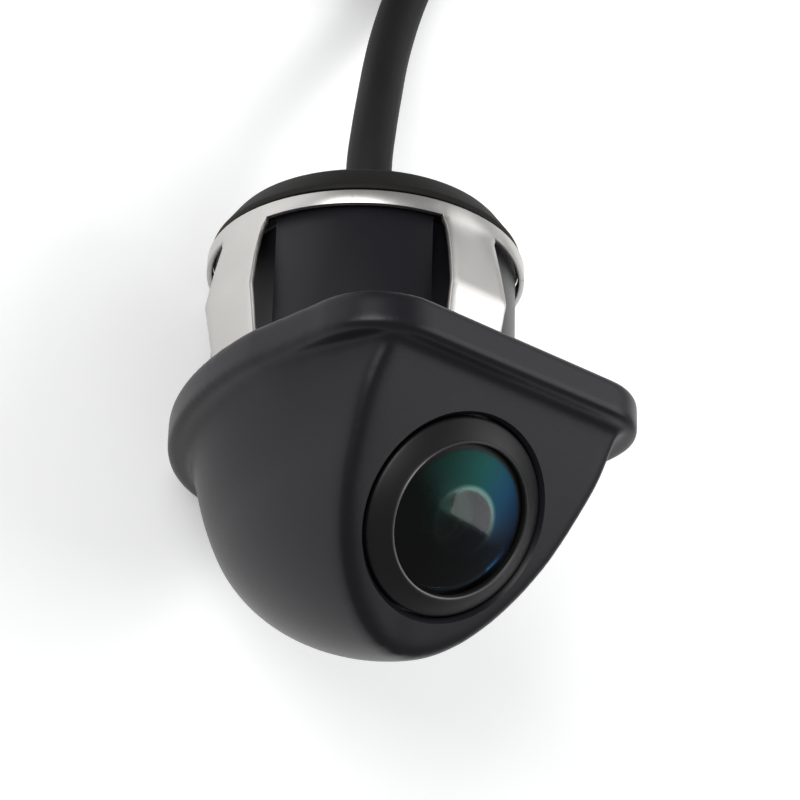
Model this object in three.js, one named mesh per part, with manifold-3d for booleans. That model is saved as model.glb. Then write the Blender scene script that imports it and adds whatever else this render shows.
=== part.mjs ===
// Flush-mount backup camera with its pigtail, lying on its back on a table, lens up.
// The camera is built in its mounting frame: origin in the flange's seat, +Z along the barrel towards
// the cable, lens looking towards -Y and down. A nested group then lays it on the table.
import * as THREE from 'three';
import { mergeVertices } from 'three/addons/utils/BufferGeometryUtils.js';
import Module from 'manifold-3d';

const wasm = await Module();
wasm.setup();

// ---------- driving dimensions, millimetres ----------
const GAP = 0.3;                       // clearance between neighbouring pieces

const BARREL_RADIUS = 10.2;            // body that passes through a 22.5 mm hole
const BARREL_TOP = 11.3;
const BARREL_ROOT = -2;                // the barrel grows out of the flange from here
const BARREL_BORE = 8.4;
const BARREL_BORE_BOTTOM = -1.5;
const SEAT_RELIEF_RADIUS = 11.8;       // shallow step that keeps the clip's legs clear of the seat
const SEAT_RELIEF_DEPTH = 0.4;

const FLANGE_HALF_WIDTH = 13.5;
const FLANGE_BACK = 14.1;              // seat centre to the round back of the flange
const FLANGE_FRONT = 16;               // seat centre to the straight edge above the lens
const FLANGE_THICKNESS = 2.6;
const FLANGE_WIDEST = -5.1;            // the outline is widest this far forward of the barrel's axis
const FLANGE_CORNER = 5.1;
const FLANGE_CORNER_HALF_WIDTH = 12.9;
const FLANGE_EDGE_BEVEL = 0.6;

const DOME_HALF_WIDTH = 10.15;
const DOME_WIDEST = -8;                // centre of the dome's elliptical sections
const DOME_BACK = 20.7;                // half-length of those sections
const DOME_WALL_FOOT = -4.8;           // the wall is upright down to here, then rounds in
const DOME_DEPTH = 13.8;
const DOME_ROUNDNESS = 1.76;           // exponent of the dome's profile; 2 would be an ellipse
const DOME_FLARE = 0.25;               // share by which the dome widens where it meets the flange
const DOME_FLARE_CURVE = 1.6;
const DOME_FLARE_FOOT = -8;
const DOME_FLARE_FRONT = -15;          // the flare fades out over 9 mm towards the lens face
const DOME_FLARE_FADE = 9;

const LENS_SLOPE = THREE.MathUtils.degToRad(33.2);      // lens axis below the horizontal
const LENS_FACE = new THREE.Vector3(0, -9.6, -10.3);    // where the lens axis meets the slanted face
const BEZEL_RADIUS = 6.5;
const BEZEL_RIM_RADIUS = 5.3;
const BEZEL_RISE = 0.72;
const BEZEL_BACK = 0.6;                // depths below the slanted face, from here on
const BEZEL_SEAT_DEPTH = 1.3;
const LENS_BODY_RADIUS = 4.9;
const LENS_BODY_END = 8.2;
const POCKET_RADIUS = 6.9;
const POCKET_START = 2.6;
const POCKET_END = 15;
const BOARD_FRONT = 10.7;
const BOARD_THICKNESS = 1;
const BOARD_HALF_WIDTH = 5.6;
const BOARD_CORNER = 2;
const BOARD_SCREW_OFFSET = 4.5;

const CLIP_RING_RADIUS = 10.8;
const CLIP_RING_BOTTOM = 10.36;
const CLIP_RING_TOP = 11.35;
const CLIP_SHEET = 0.36;
const CLIP_LEG_WIDTH = 4.3;
const CLIP_BULGE_RADIUS = 11.65;
const CLIP_BULGE_HEIGHT = 5;
const CLIP_TIP_RADIUS = 10.95;
const CLIP_TIP_HEIGHT = 1;
const CLIP_POCKET_FLOOR = 9.3;         // flat pockets in the barrel give the legs room to be pressed in
const CLIP_POCKET_WIDTH = 5.2;
const CLIP_ANGLES = { right: 0, back: 90, left: 180, front: 270 };

const CAP_BOTTOM = 11.6;
const CAP_RADIUS = 10.55;
const CAP_CHAMFER_START = 12;
const CAP_TOP_RADIUS = 9;
const CAP_TOP = 13.95;
const CAP_HOLE = 2.9;
const CAP_PLUG_RADIUS = 8.1;
const CAP_PLUG_BOTTOM = 8.4;
const CAP_GROOVE_RADIUS = 7.3;         // groove for the cap's seal
const CAP_GROOVE_BOTTOM = 9.2;
const CAP_GROOVE_TOP = 10.4;

const CORD_RADIUS = 1.6;
const GROMMET_TOP = 17.4;
const GROMMET_TIP_RADIUS = 2.35;
const GROMMET_BOTTOM = 8.4;
const GROMMET_NECK_RADIUS = 2.6;
const GROMMET_COLLAR_RADIUS = 3.1;
const GROMMET_COLLAR_HEIGHT = 0.9;

// On the table: the neat coil, its tie and the connector lying on top of it.
const COIL_CENTRE = new THREE.Vector3(-12, 55, 0);
const COIL_INNER_RADIUS = 10.9;
const COIL_OUTER_RADIUS = 24;
const COIL_BOTTOM = 0.7;
const COIL_TOP = 7.1;
const COIL_ROUNDING = 1.2;
const TIE_ANGLE = 180;
const TIE_WIDTH = 3;
const TIE_THICKNESS = 0.4;
const PLUG_START = new THREE.Vector3(-3, 65.1, 14.7);  // where the cord enters the connector's boot
const PLUG_LENGTH = 33;
const COLLAR_RADIUS = 7.3;

// The seat's centre on the table, set so that the camera's own box is centred on X and Y.
const SEAT_Y = -0.47;

// The flange's back rim and the clip ring both touch the table, which sets the lean of the barrel.
const LEAN = Math.atan2(FLANGE_BACK - CLIP_RING_RADIUS, CLIP_RING_TOP);
const SEAT_HEIGHT = FLANGE_BACK * Math.cos(LEAN);

// ---------- materials ----------
const paint = (color, roughness, metalness) => new THREE.MeshStandardMaterial({ color, roughness, metalness });
const blackPaint = paint(0x303033, 0.42, 0.0);
const blackPlastic = paint(0x2e2d2c, 0.6, 0.0);
const blackMetal = paint(0x1b1b1d, 0.35, 0.7);
const springSteel = paint(0xb4b1ac, 0.28, 1.0);
const rubber = paint(0x171717, 0.8, 0.0);
const cordJacket = paint(0x2a2829, 0.65, 0.0);
const coatedGlass = paint(0x12403f, 0.05, 0.0);
const clearGlass = paint(0xcfe0e6, 0.05, 0.0);
const boardGreen = paint(0x1d5a35, 0.5, 0.0);
const chipBlack = paint(0x151515, 0.45, 0.0);
const sensorGlass = paint(0x3a3550, 0.15, 0.2);
const headerWhite = paint(0xe6e2d6, 0.5, 0.0);
const brass = paint(0xc8a24a, 0.3, 1.0);
const screwSteel = paint(0x8d8f92, 0.3, 1.0);
const wireColours = [0xb3201c, 0x1a1a1a, 0xd9b021, 0xe5e5e5];

// ---------- making solids ----------
const ABOUT_Z = new THREE.Matrix4().makeRotationX(Math.PI / 2);     // a lathe turns about Y

function toSolid(geometry) {
  const bare = geometry.clone();
  bare.deleteAttribute('normal');
  bare.deleteAttribute('uv');
  const merged = mergeVertices(bare, 1e-4);
  const vertProperties = new Float32Array(merged.attributes.position.array);
  const triVerts = new Uint32Array(merged.index.array);
  return new wasm.Manifold(new wasm.Mesh({ numProp: 3, vertProperties, triVerts }));
}

function toGeometry(solid) {
  const mesh = solid.getMesh();
  const geometry = new THREE.BufferGeometry();
  geometry.setAttribute('position', new THREE.BufferAttribute(mesh.vertProperties, 3));
  geometry.setIndex(new THREE.BufferAttribute(mesh.triVerts, 1));
  geometry.computeVertexNormals();
  return geometry;
}

// Cuts every tool out of the body, or joins every piece to it.
const cutFrom = (body, ...tools) =>
  toGeometry(tools.reduce((solid, tool) => solid.subtract(toSolid(tool)), toSolid(body)));
const joined = (body, ...pieces) =>
  toGeometry(pieces.reduce((solid, piece) => solid.add(toSolid(piece)), toSolid(body)));

// A turned piece: profile points are [radius, height along Z].
function turned(profile, facets = 24) {
  const points = profile.map(([radius, height]) => new THREE.Vector2(radius, height));
  return new THREE.LatheGeometry(points, facets).applyMatrix4(ABOUT_Z);
}

// A turned ring of rectangular section.
const ring = (inner, outer, bottom, top, facets = 24) =>
  turned([[inner, bottom], [outer, bottom], [outer, top], [inner, top], [inner, bottom]], facets);

// A solid turned rod or disc.
const rod = (radius, bottom, top, facets = 24) =>
  turned([[0, bottom], [radius, bottom], [radius, top], [0, top]], facets);

// A ring of round section, for seals.
function roundRing(radius, sectionRadius, height, facets = 28, sides = 6) {
  const profile = [];
  for (let i = 0; i <= sides; i += 1) {
    const angle = (-2 * Math.PI * (i % sides)) / sides;
    profile.push([radius + sectionRadius * Math.cos(angle), height - sectionRadius * Math.sin(angle)]);
  }
  return turned(profile, facets);
}

function block(width, depth, bottom, top, x = 0, y = 0) {
  return new THREE.BoxGeometry(width, depth, top - bottom).translate(x, y, (bottom + top) / 2);
}

// A straight extrusion of an outline between two heights.
function plate(shape, bottom, top, curveSegments = 12) {
  const options = { depth: top - bottom, bevelEnabled: false, curveSegments };
  return new THREE.ExtrudeGeometry(shape, options).translate(0, 0, bottom);
}

// A round tube along a list of points.
function tube(points, radius, steps, sides) {
  const curve = new THREE.CatmullRomCurve3(points, false, 'centripetal');
  const section = new THREE.Shape();
  for (let i = 0; i < sides; i += 1) {
    const angle = (2 * Math.PI * i) / sides;
    const x = radius * Math.cos(angle);
    const y = radius * Math.sin(angle);
    if (i === 0) section.moveTo(x, y);
    else section.lineTo(x, y);
  }
  return new THREE.ExtrudeGeometry(section, { steps, extrudePath: curve, bevelEnabled: false });
}

function part(name, geometry, material) {
  const mesh = new THREE.Mesh(geometry, material);
  mesh.name = name;
  return mesh;
}

// ---------- housing: flange, dome and hollow barrel in one casting ----------
function flangeOutline() {
  const cornerX = FLANGE_CORNER_HALF_WIDTH - FLANGE_CORNER;
  const cornerY = FLANGE_CORNER - FLANGE_FRONT;
  const backLength = FLANGE_BACK - FLANGE_WIDEST;
  const shape = new THREE.Shape();
  shape.moveTo(-cornerX, -FLANGE_FRONT);
  shape.lineTo(cornerX, -FLANGE_FRONT);
  shape.absarc(cornerX, cornerY, FLANGE_CORNER, -Math.PI / 2, 0);
  shape.lineTo(FLANGE_HALF_WIDTH, FLANGE_WIDEST);
  shape.absellipse(0, FLANGE_WIDEST, FLANGE_HALF_WIDTH, backLength, 0, Math.PI);
  shape.lineTo(-FLANGE_CORNER_HALF_WIDTH, cornerY);
  shape.absarc(-cornerX, cornerY, FLANGE_CORNER, Math.PI, 1.5 * Math.PI);
  return shape;
}

function flangeSolid() {
  const bevel = FLANGE_EDGE_BEVEL;
  const plateWithBevel = new THREE.ExtrudeGeometry(flangeOutline(), {
    depth: 2 * FLANGE_THICKNESS,
    bevelEnabled: true,
    bevelThickness: bevel,
    bevelSize: bevel,
    bevelOffset: -bevel,
    bevelSegments: 2,
    curveSegments: 24,
  });
  plateWithBevel.translate(0, 0, bevel - FLANGE_THICKNESS);
  const aboveTheSeat = block(40, 40, 0, 10);
  const seatRelief = rod(SEAT_RELIEF_RADIUS, -SEAT_RELIEF_DEPTH, 1, 56);
  return cutFrom(plateWithBevel, aboveTheSeat, seatRelief);
}

// The dome is turned, stretched to an ellipse in plan and later cut by the slanted lens face.
function domeSolid() {
  const rows = 11;
  const bottom = DOME_WALL_FOOT - DOME_DEPTH;
  const profile = [[0, bottom]];
  for (let i = 1; i <= rows; i += 1) {
    const angle = (i / rows) * (Math.PI / 2);
    const radius = Math.sin(angle) ** (2 / DOME_ROUNDNESS);
    const drop = Math.cos(angle) ** (2 / DOME_ROUNDNESS);
    profile.push([radius, i === rows ? DOME_WALL_FOOT : DOME_WALL_FOOT - DOME_DEPTH * drop]);
  }
  profile.push([1, (DOME_WALL_FOOT - FLANGE_THICKNESS) / 2], [1, -FLANGE_THICKNESS], [1, -1], [0, -1]);
  const dome = turned(profile, 48).scale(DOME_HALF_WIDTH, DOME_BACK, 1).translate(0, DOME_WIDEST, 0);
  return flaredTowardsFlange(dome);
}

function flaredTowardsFlange(dome) {
  const places = dome.attributes.position;
  const flareHeight = -FLANGE_THICKNESS - DOME_FLARE_FOOT;
  for (let i = 0; i < places.count; i += 1) {
    const rise = THREE.MathUtils.clamp((places.getZ(i) - DOME_FLARE_FOOT) / flareHeight, 0, 1);
    const fade = THREE.MathUtils.clamp((places.getY(i) - DOME_FLARE_FRONT) / DOME_FLARE_FADE, 0, 1);
    places.setX(i, places.getX(i) * (1 + DOME_FLARE * fade * rise ** DOME_FLARE_CURVE));
  }
  return dome;
}

// Turns +Z onto the lens axis, which runs into the camera from the slanted face.
const LENS_TURN = new THREE.Quaternion().setFromUnitVectors(
  new THREE.Vector3(0, 0, 1),
  new THREE.Vector3(0, Math.cos(LENS_SLOPE), Math.sin(LENS_SLOPE)),
);
const alongLens = (geometry) =>
  geometry.applyQuaternion(LENS_TURN).translate(LENS_FACE.x, LENS_FACE.y, LENS_FACE.z);

function clipPocket(angle) {
  const reach = 6;
  const pocket = new THREE.BoxGeometry(reach, CLIP_POCKET_WIDTH, CLIP_RING_BOTTOM);
  pocket.translate(CLIP_POCKET_FLOOR + reach / 2, 0, CLIP_RING_BOTTOM / 2);
  return pocket.rotateZ(THREE.MathUtils.degToRad(angle));
}

function housing() {
  const inFrontOfFace = alongLens(block(60, 60, -30, 0));
  const dome = cutFrom(domeSolid(), inFrontOfFace);
  const barrel = rod(BARREL_RADIUS, BARREL_ROOT, BARREL_TOP, 56);
  const whole = joined(flangeSolid(), dome, barrel);
  const bore = rod(BARREL_BORE, BARREL_BORE_BOTTOM, BARREL_TOP + 1, 40);
  const pocket = alongLens(rod(POCKET_RADIUS, POCKET_START, POCKET_END, 40));
  const lensBore = alongLens(rod(LENS_BODY_RADIUS + GAP, -1, POCKET_START + 1));
  const bezelSeat = alongLens(rod(BEZEL_RADIUS + GAP / 2, -1, BEZEL_SEAT_DEPTH, 40));
  return cutFrom(whole, bore, pocket, lensBore, bezelSeat, ...Object.values(CLIP_ANGLES).map(clipPocket));
}

// ---------- lens: a threaded body with a conical bezel, holding three elements ----------
// Heights are depths below the slanted face, so the front of each piece has the smaller number.
const FRONT_GLASS = { radius: 4.7, front: -0.3, back: 1.1, crown: 0.9, hollow: 0.7 };
const SECOND_GLASS = { radius: 3.1, front: 2.6, back: 3.5, crown: 0.4, hollow: 0 };
const REAR_GLASS = { radius: 3.1, front: 4.9, back: 6.2, crown: 0.4, hollow: -0.4 };
const FRONT_BORE = FRONT_GLASS.radius + GAP;
const REAR_BORE = SECOND_GLASS.radius + GAP;
const FRONT_BORE_DEPTH = 2.2;

const lensBody = () =>
  alongLens(turned([
    [FRONT_BORE, -BEZEL_RISE],
    [BEZEL_RIM_RADIUS, -BEZEL_RISE],
    [BEZEL_RADIUS, 0],
    [BEZEL_RADIUS, BEZEL_BACK],
    [LENS_BODY_RADIUS, BEZEL_BACK],
    [LENS_BODY_RADIUS, LENS_BODY_END],
    [REAR_BORE, LENS_BODY_END],
    [REAR_BORE, FRONT_BORE_DEPTH],
    [FRONT_BORE, FRONT_BORE_DEPTH],
    [FRONT_BORE, -BEZEL_RISE],
  ], 40));

// A round glass with curved faces: crown is the bulge towards the front, hollow the dish behind it.
function lensElement({ radius, front, back, crown, hollow }, facets) {
  const steps = 4;
  const profile = [];
  for (let i = 0; i <= steps; i += 1) {
    const r = (radius * i) / steps;
    profile.push([r, front - crown * (1 - (r / radius) ** 2)]);
  }
  for (let i = steps; i >= 0; i -= 1) {
    const r = (radius * i) / steps;
    profile.push([r, back - hollow * (1 - (r / radius) ** 2)]);
  }
  return alongLens(turned(profile, facets));
}

// [inner radius, outer radius, front, back] of the plain rings inside and around the lens body.
const SPACER = [3.2, FRONT_GLASS.radius, 1.4, 1.9];
const STOP = [1.1, SECOND_GLASS.radius, 3.8, 4.1];
const RETAINER = [2.4, REAR_GLASS.radius, 6.9, 7.7];
const LOCK_RING = [LENS_BODY_RADIUS + 0.2, 6.5, 2.9, 4.1];
const LENS_SEAL_RADIUS = 5.75;
const LENS_SEAL_SECTION = 0.26;
const LENS_SEAL_DEPTH = 0.95;
const lensRing = (size) => alongLens(ring(...size));

const lensParts = [
  part('lens_body', lensBody(), blackMetal),
  part('front_glass', lensElement(FRONT_GLASS, 36), coatedGlass),
  part('glass_spacer', lensRing(SPACER), blackMetal),
  part('second_glass', lensElement(SECOND_GLASS, 24), clearGlass),
  part('aperture_stop', lensRing(STOP), blackMetal),
  part('rear_glass', lensElement(REAR_GLASS, 24), clearGlass),
  part('rear_retainer', lensRing(RETAINER), blackMetal),
  part('lens_seal', alongLens(roundRing(LENS_SEAL_RADIUS, LENS_SEAL_SECTION, LENS_SEAL_DEPTH)), rubber),
  part('lens_lock_ring', lensRing(LOCK_RING), brass),
];

// ---------- sensor block behind the lens ----------
function boardShape(half, corner) {
  const shape = new THREE.Shape();
  shape.moveTo(-half + corner, -half);
  shape.lineTo(half - corner, -half);
  shape.lineTo(half, -half + corner);
  shape.lineTo(half, half - corner);
  shape.lineTo(half - corner, half);
  shape.lineTo(-half + corner, half);
  shape.lineTo(-half, half - corner);
  shape.lineTo(-half, -half + corner);
  shape.closePath();
  return shape;
}

const SCREW_SIDES = [-1, 1];
const SCREW_RADIUS = 0.55;
const SCREW_TIP = 9.2;
const SCREW_HEAD_RADIUS = 1.05;
const SCREW_HEAD_HEIGHT = 0.6;
const holeForScrew = (side, radius, bottom, top) =>
  rod(radius, bottom, top, 16).translate(side * BOARD_SCREW_OFFSET, 0, 0);

const HOLDER_FRONT = 4.6;
const HOLDER_SHOULDER = 8;
const HOLDER_BACK = BOARD_FRONT - GAP;
const HOLDER_NECK_RADIUS = 6.1;
const FILTER_POCKET = 6;
const FILTER_POCKET_FLOOR = 8.2;
function lensHolder() {
  const base = plate(boardShape(BOARD_HALF_WIDTH - 0.2, BOARD_CORNER), HOLDER_SHOULDER, HOLDER_BACK);
  const neck = rod(HOLDER_NECK_RADIUS, HOLDER_FRONT, HOLDER_SHOULDER + 0.5);
  const neckBore = rod(LENS_BODY_RADIUS + 0.2, HOLDER_FRONT - 1, LENS_BODY_END + 0.15);
  const filterPocket = block(FILTER_POCKET, FILTER_POCKET, FILTER_POCKET_FLOOR, HOLDER_BACK + 1);
  const screwHoles = SCREW_SIDES.map((side) =>
    holeForScrew(side, SCREW_RADIUS + 0.2, SCREW_TIP - GAP, HOLDER_BACK + 1));
  return alongLens(cutFrom(joined(base, neck), neckBore, filterPocket, ...screwHoles));
}

function sensorBoard() {
  const board = plate(boardShape(BOARD_HALF_WIDTH, BOARD_CORNER), BOARD_FRONT, BOARD_FRONT + BOARD_THICKNESS);
  const holes = SCREW_SIDES.map((side) =>
    holeForScrew(side, SCREW_RADIUS + 0.25, BOARD_FRONT - 1, BOARD_FRONT + 2));
  return alongLens(cutFrom(board, ...holes));
}

function boardScrew(side) {
  const headBottom = BOARD_FRONT + BOARD_THICKNESS + 0.1;
  const headTop = headBottom + SCREW_HEAD_HEIGHT;
  const profile = [
    [0, SCREW_TIP],
    [SCREW_RADIUS, SCREW_TIP],
    [SCREW_RADIUS, headBottom],
    [SCREW_HEAD_RADIUS, headBottom],
    [SCREW_HEAD_RADIUS, headTop - 0.25],
    [SCREW_HEAD_RADIUS - 0.35, headTop],
    [0, headTop],
  ];
  return alongLens(turned(profile, 16).translate(side * BOARD_SCREW_OFFSET, 0, 0));
}

// The lead plugs into a four-way header on the back of the board, beside the video chip.
const BOARD_BACK = BOARD_FRONT + BOARD_THICKNESS + GAP;
const HEADER = { width: 5.6, depth: 2.6, y: -2.2, top: 14.6, wall: 0.4, floor: 12.7 };
const LEAD_PLUG = { width: 4.2, depth: 1.2, bottom: 13, top: 15.2 };
const CHIP = { size: 4, top: 12.9, y: 2.4 };
const SENSOR = { width: 5, depth: 4.4, front: 9.5 };
const FILTER = { size: 5.4, front: 8.6, back: 9 };

function headerShell() {
  const { width, depth, y, top, wall, floor } = HEADER;
  const shell = block(width, depth, BOARD_BACK, top, 0, y);
  const mouth = block(width - 2 * wall, depth - 2 * wall, floor, top + 1, 0, y);
  return alongLens(cutFrom(shell, mouth));
}

const filter = block(FILTER.size, FILTER.size, FILTER.front, FILTER.back);
const sensor = block(SENSOR.width, SENSOR.depth, SENSOR.front, BOARD_FRONT - GAP);
const chip = block(CHIP.size, CHIP.size, BOARD_BACK, CHIP.top, 0, CHIP.y);
const leadPlug = block(LEAD_PLUG.width, LEAD_PLUG.depth, LEAD_PLUG.bottom, LEAD_PLUG.top, 0, HEADER.y);
const sensorParts = [
  part('lens_holder', lensHolder(), blackPlastic),
  part('infrared_filter', alongLens(filter), clearGlass),
  part('image_sensor', alongLens(sensor), sensorGlass),
  part('sensor_board', sensorBoard(), boardGreen),
  part('video_chip', alongLens(chip), chipBlack),
  part('lead_header', headerShell(), headerWhite),
  part('lead_plug', alongLens(leadPlug), headerWhite),
];
SCREW_SIDES.forEach((side, i) => {
  sensorParts.push(part(`board_screw_${i + 1}`, boardScrew(side), screwSteel));
});

// ---------- four thin wires from the cable to the lead plug ----------
const WIRE_RADIUS = 0.4;
const WIRE_PITCH = 1.05;
const WIRE_START = LEAD_PLUG.top + GAP;
const WIRE_STRAIGHT = 0.9;
function leadWire(index) {
  const offset = (index - 1.5) * WIRE_PITCH;
  const plugEnd = new THREE.Vector3(offset, HEADER.y, WIRE_START);
  const leaving = new THREE.Vector3(offset, HEADER.y, WIRE_START + WIRE_STRAIGHT);
  const points = [plugEnd, leaving].map((point) => point.applyQuaternion(LENS_TURN).add(LENS_FACE));
  points.push(
    new THREE.Vector3(offset, 3.6, 2.6),
    new THREE.Vector3(offset * 0.9, 2.4, 5.2),
    new THREE.Vector3(offset * 0.85, 0.6, 7.2),
    new THREE.Vector3(offset * 0.85, 0, GROMMET_BOTTOM - GAP),
  );
  return tube(points, WIRE_RADIUS, 14, 6);
}
const wires = wireColours.map((colour, i) => part(`lead_wire_${i + 1}`, leadWire(i), paint(colour, 0.5, 0)));

// ---------- spring clip: one ring and four legs ----------
const clipRing = part(
  'clip_ring',
  ring(CLIP_RING_RADIUS - CLIP_SHEET, CLIP_RING_RADIUS, CLIP_RING_BOTTOM, CLIP_RING_TOP, 56),
  springSteel,
);

// The leg's side view: its outer face down to the tip, then its inner face back up. The bend is rounded.
function clipLeg(angle) {
  const top = CLIP_RING_BOTTOM - GAP;
  const bend = 0.5;
  const bendInset = 0.1;
  const outerFace = [
    [CLIP_RING_RADIUS, top],
    [CLIP_BULGE_RADIUS - bendInset, CLIP_BULGE_HEIGHT + bend],
    [CLIP_BULGE_RADIUS, CLIP_BULGE_HEIGHT],
    [CLIP_BULGE_RADIUS - bendInset, CLIP_BULGE_HEIGHT - bend],
    [CLIP_TIP_RADIUS, CLIP_TIP_HEIGHT],
  ];
  const innerFace = outerFace.map(([radius, height]) => [radius - CLIP_SHEET, height]).reverse();
  const outline = [...outerFace, ...innerFace].map(([radius, height]) => new THREE.Vector2(radius, height));
  const sideView = new THREE.Shape(outline);
  const leg = new THREE.ExtrudeGeometry(sideView, { depth: CLIP_LEG_WIDTH, bevelEnabled: false });
  leg.rotateX(Math.PI / 2).translate(0, CLIP_LEG_WIDTH / 2, 0);
  return leg.rotateZ(THREE.MathUtils.degToRad(angle));
}
const clipLegs = Object.entries(CLIP_ANGLES).map(([side, angle]) =>
  part(`clip_leg_${side}`, clipLeg(angle), springSteel));

// ---------- rear cap, its seal and the cable grommet ----------
const GROMMET_BORE = CORD_RADIUS + GAP;
const PLUG_CHAMFER = 0.4;
const CAP_EDGE_ROUNDING = 0.2;
const CAP_SEAL_RADIUS = 7.7;
const CAP_SEAL_SECTION = 0.34;
const rearCap = () =>
  turned([
    [CAP_HOLE, CAP_PLUG_BOTTOM],
    [CAP_PLUG_RADIUS - PLUG_CHAMFER, CAP_PLUG_BOTTOM],
    [CAP_PLUG_RADIUS, CAP_PLUG_BOTTOM + PLUG_CHAMFER],
    [CAP_PLUG_RADIUS, CAP_GROOVE_BOTTOM],
    [CAP_GROOVE_RADIUS, CAP_GROOVE_BOTTOM],
    [CAP_GROOVE_RADIUS, CAP_GROOVE_TOP],
    [CAP_PLUG_RADIUS, CAP_GROOVE_TOP],
    [CAP_PLUG_RADIUS, CAP_BOTTOM],
    [CAP_RADIUS, CAP_BOTTOM],
    [CAP_RADIUS, CAP_CHAMFER_START],
    [CAP_TOP_RADIUS + CAP_EDGE_ROUNDING, CAP_TOP - CAP_EDGE_ROUNDING],
    [CAP_TOP_RADIUS, CAP_TOP],
    [CAP_HOLE, CAP_TOP],
    [CAP_HOLE, CAP_PLUG_BOTTOM],
  ], 36);
const cableGrommet = () =>
  turned([
    [GROMMET_BORE, GROMMET_BOTTOM],
    [GROMMET_NECK_RADIUS, GROMMET_BOTTOM],
    [GROMMET_NECK_RADIUS, CAP_TOP + GAP],
    [GROMMET_COLLAR_RADIUS, CAP_TOP + GAP],
    [GROMMET_COLLAR_RADIUS, CAP_TOP + GROMMET_COLLAR_HEIGHT],
    [GROMMET_TIP_RADIUS, GROMMET_TOP],
    [GROMMET_BORE, GROMMET_TOP],
    [GROMMET_BORE, GROMMET_BOTTOM],
  ]);
const capSealHeight = (CAP_GROOVE_BOTTOM + CAP_GROOVE_TOP) / 2;
const capParts = [
  part('rear_cap', rearCap(), blackPlastic),
  part('cap_seal', roundRing(CAP_SEAL_RADIUS, CAP_SEAL_SECTION, capSealHeight), rubber),
  part('cable_grommet', cableGrommet(), rubber),
];

// ---------- cord: a lead from the camera to the coil and a tail from the coil to the connector ----------
const CORD_SIDES = 8;
const LEAD_ROUTE = [
  [0, 16.55, 8.59],
  [0.05, 18.6, 7.95],
  [0.5, 21.4, 6.95],
  [1.2, 24.2, 5.75],
  [2.05, 27.2, 4.4],
  [3, 30.2, 3.15],
  [4, 33.4, 2.2],
  [4.45, 34.9, 1.95],
];
const TAIL_ROUTE = [
  [10, 49.1, 9.3],
  [10.8, 54.3, 10.9],
  [9.6, 59.2, 12.6],
  [6.4, 63, 14],
  [1.8, 64.9, 14.65],
  [-2.7, 65.1, 14.7],
];
const routePoints = (route) => route.map(([x, y, z]) => new THREE.Vector3(x, y, z));

function coilSolid() {
  const round = COIL_ROUNDING;
  const profile = [
    [COIL_INNER_RADIUS, COIL_BOTTOM + round],
    [COIL_INNER_RADIUS + round, COIL_BOTTOM],
    [COIL_OUTER_RADIUS - round, COIL_BOTTOM],
    [COIL_OUTER_RADIUS, COIL_BOTTOM + round],
    [COIL_OUTER_RADIUS, COIL_TOP - round],
    [COIL_OUTER_RADIUS - round, COIL_TOP],
    [COIL_INNER_RADIUS + round, COIL_TOP],
    [COIL_INNER_RADIUS, COIL_TOP - round],
    [COIL_INNER_RADIUS, COIL_BOTTOM + round],
  ];
  return turned(profile, 40);
}

// The tie is a flat band wrapped once round the bundle.
function coilTie() {
  const inner = COIL_INNER_RADIUS - 2 * GAP;
  const outer = COIL_OUTER_RADIUS + GAP;
  const bottom = COIL_BOTTOM - GAP;
  const top = COIL_TOP + GAP;
  const middle = (inner + outer) / 2;
  const wall = 2 * TIE_THICKNESS;
  const band = block(outer - inner + wall, TIE_WIDTH, bottom - TIE_THICKNESS, top + TIE_THICKNESS, middle);
  const bundle = block(outer - inner, 2 * TIE_WIDTH, bottom, top, middle);
  return cutFrom(band, bundle).rotateZ(THREE.MathUtils.degToRad(TIE_ANGLE));
}

const coil = part('cord_coil', coilSolid(), cordJacket);
const tie = part('coil_tie', coilTie(), rubber);
coil.position.copy(COIL_CENTRE);
tie.position.copy(COIL_CENTRE);
const cordParts = [
  part('cord_lead', tube(routePoints(LEAD_ROUTE), CORD_RADIUS, 12, CORD_SIDES), cordJacket),
  part('cord_tail', tube(routePoints(TAIL_ROUTE), CORD_RADIUS, 12, CORD_SIDES), cordJacket),
  coil,
  tie,
];

// ---------- four-way screw connector; its own +Z runs from the cord to the mating face ----------
const BOOT_LENGTH = 12;
const BOOT_RADIUS = 5.2;
const SHELL_START = BOOT_LENGTH + GAP;
const SHELL_RADIUS = 5.4;
const SHELL_STOP = 17.4;               // a flange on the shell, which the collar nut pulls on
const SHELL_STOP_RADIUS = 6.2;
const SHELL_STOP_WIDTH = 1.4;
const SEAL_GROOVE_WIDTH = 1.2;
const SEAL_GROOVE_DEPTH = 0.2;
const SHELL_BORE = 4.6;
const INSERT_BACK = 21;
const INSERT_FACE = 29.5;
const PIN_RADIUS = 0.5;
const PIN_CIRCLE = 2.3;
const PIN_ANGLES = [45, 135, 225, 315];
const COLLAR_START = 13.2;
const COLLAR_END = PLUG_LENGTH - 1;
const COLLAR_CHAMFER = 0.6;
const COLLAR_BORE = SHELL_STOP_RADIUS + GAP;
const COLLAR_LIP = SHELL_RADIUS + 0.1;

const plugBoot = () =>
  turned([
    [0, 0],
    [2.5, 0],
    [2.9, 4],
    [3.9, 8],
    [BOOT_RADIUS, 9.5],
    [BOOT_RADIUS, BOOT_LENGTH],
    [0, BOOT_LENGTH],
  ]);

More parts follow.
